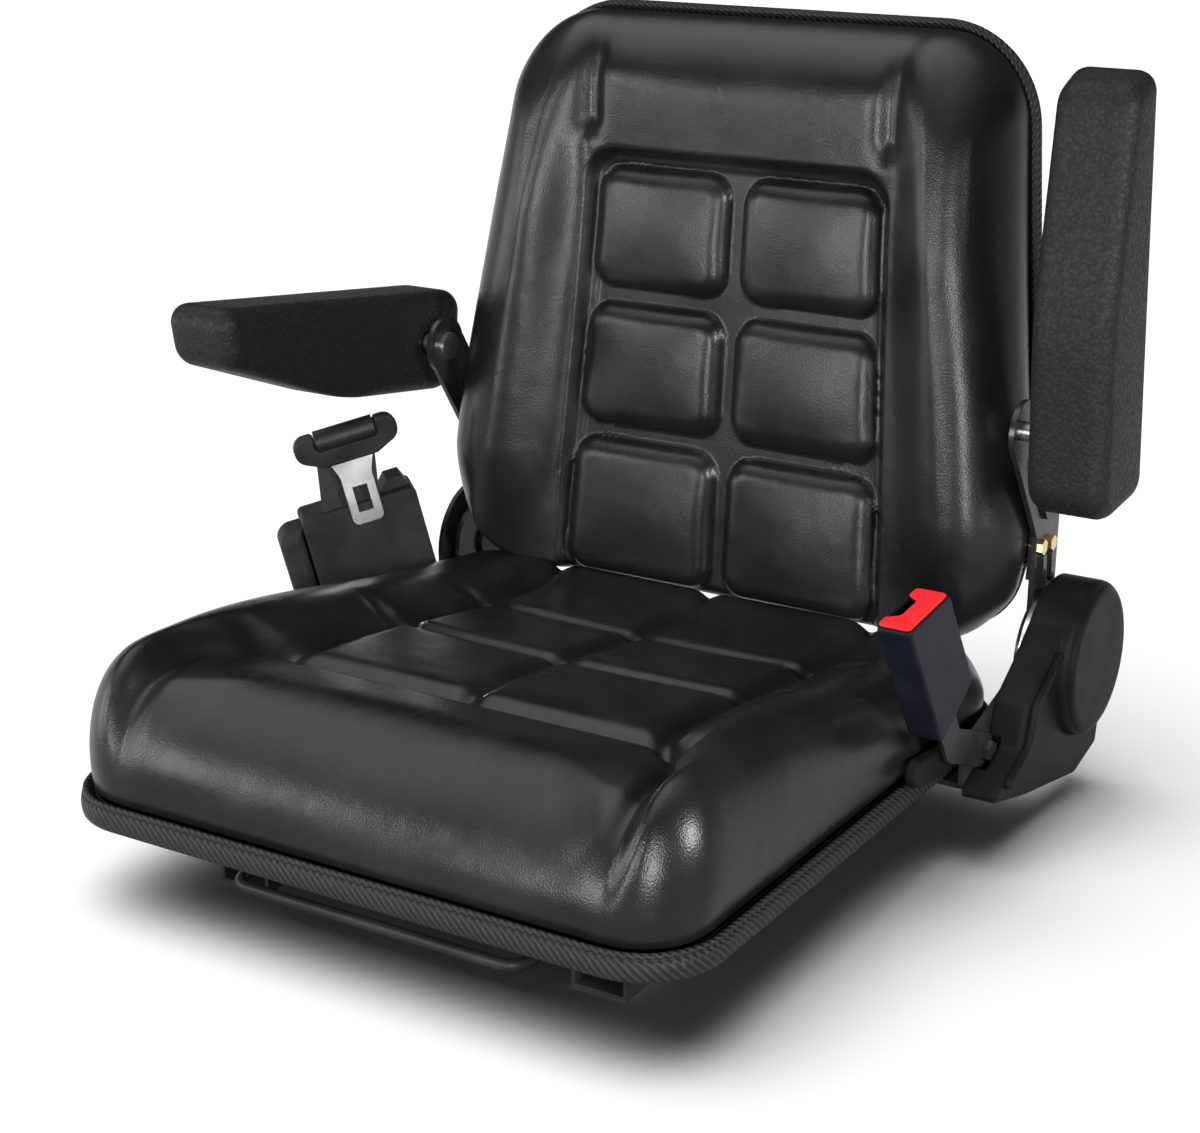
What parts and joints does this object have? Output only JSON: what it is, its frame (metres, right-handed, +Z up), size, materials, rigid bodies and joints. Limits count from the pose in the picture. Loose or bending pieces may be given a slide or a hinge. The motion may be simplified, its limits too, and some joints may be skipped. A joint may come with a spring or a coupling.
{
  "type": "ride on mower seat",
  "caption": "Padded black vinyl mower seat with reclining back, folding armrests, lap belt with buckle and retractor, and fore-aft slide rails for bolting to the machine.",
  "frame": {"origin": "centre of the floor holes, on the underside of the lower rails", "axes": "+Z up, the sitter faces -Y, the sitter's left hand is at +X"},
  "size_m": [0.6664, 0.575, 0.5473],
  "materials": {
    "black_vinyl": "satin, fine grain",
    "edge_trim": "woven outer face",
    "black_steel": "gloss black",
    "zinc_steel": "zinc plated",
    "yellow_zinc": "yellow passivated zinc",
    "black_plastic": "fine texture",
    "armrest_skin": "coarse grain",
    "nylon": "natural",
    "red_plastic": "glossy",
    "belt_fabric": "woven polyester"
  },
  "bodies": {
    "base_rails": {"lower_rail_left": "black_steel", "lower_rail_right": "black_steel"},
    "seat": {"belt_webbing": "belt_fabric", "bracket_bolts": "zinc_steel", "buckle_anchor_bolt": "zinc_steel", "buckle_anchor_strap": "black_steel", "buckle_case": "black_plastic", "buckle_spring": "zinc_steel", "left_side_bracket": "black_steel", "rail_glides": "nylon", "rail_risers": "black_steel", "recline_lever_pin": "zinc_steel", "recliner_cover": "black_plastic", "recliner_pivot_bolt": "zinc_steel", "recliner_spring": "zinc_steel", "retractor_bracket": "black_steel", "retractor_bracket_bolts": "zinc_steel", "retractor_cover": "black_plastic", "retractor_frame": "zinc_steel", "retractor_spool": "nylon", "retractor_spring_cap": "black_plastic", "right_hinge_spacer": "zinc_steel", "right_pivot_bolt": "zinc_steel", "right_side_bracket": "black_steel", "riser_bolts": "zinc_steel", "seat_cushion": "black_vinyl", "seat_edge_trim": "edge_trim", "seat_pan": "black_steel", "tongue_cover": "black_plastic", "tongue_plate": "zinc_steel", "upper_rail_left": "black_steel", "upper_rail_right": "black_steel"},
    "backrest": {"backrest_shell": "black_steel", "backrest_edge_trim": "edge_trim", "backrest_cushion": "black_vinyl", "left_back_lug": "black_steel", "right_back_lug": "black_steel", "back_lug_bolts": "zinc_steel", "left_back_arm": "black_steel", "right_back_arm": "black_steel", "back_arm_screws": "yellow_zinc", "recliner_sector": "zinc_steel", "left_armrest_pin": "zinc_steel", "right_armrest_pin": "zinc_steel"},
    "left_armrest": {"left_armrest_pad": "armrest_skin", "left_armrest_bush": "nylon"},
    "right_armrest": {"right_armrest_pad": "armrest_skin", "right_armrest_bush": "nylon"},
    "recline_lever": {"recline_lever": "black_steel", "recline_lever_grip": "black_plastic"},
    "slide_release": {"slide_release_bar": "black_steel", "slide_latch_plates": "black_steel"},
    "buckle_button": {"buckle_button": "red_plastic"}
  },
  "joints": [
    {"name": "seat_slide", "type": "slide", "parent": "base_rails", "child": "seat", "axis": [0, 1, 0], "range_m": [-0.075, 0.075]},
    {"name": "backrest_recline", "type": "hinge", "parent": "seat", "child": "backrest", "pos_m": [0, 0.25, 0.1075], "axis": [-1, 0, 0], "range_deg": [0, 35]},
    {"name": "left_armrest_pivot", "type": "hinge", "parent": "backrest", "child": "left_armrest", "pos_m": [0.26, 0.19907, 0.2826], "axis": [-1, 0, 0], "range_deg": [-77.5, 0]},
    {"name": "right_armrest_pivot", "type": "hinge", "parent": "backrest", "child": "right_armrest", "pos_m": [-0.26, 0.19907, 0.2826], "axis": [-1, 0, 0], "range_deg": [0, 77.5]},
    {"name": "recline_lever_press", "type": "hinge", "parent": "seat", "child": "recline_lever", "pos_m": [0.2475, 0.18, 0.072], "axis": [1, 0, 0], "range_deg": [0, 10], "stiffness_Nm_per_rad": 2, "springref_deg": -11.46},
    {"name": "slide_release_lift", "type": "hinge", "parent": "seat", "child": "slide_release", "pos_m": [0, -0.04, 0.03], "axis": [-1, 0, 0], "range_deg": [0, 5.5], "stiffness_Nm_per_rad": 3, "springref_deg": -11.46},
    {"name": "buckle_button_press", "type": "slide", "parent": "seat", "child": "buckle_button", "axis": [0, 0.5299, -0.848], "range_m": [0, 0.006], "stiffness_N_per_m": 600, "springref_m": -0.005, "deforming": ["buckle_spring"]}
  ]
}
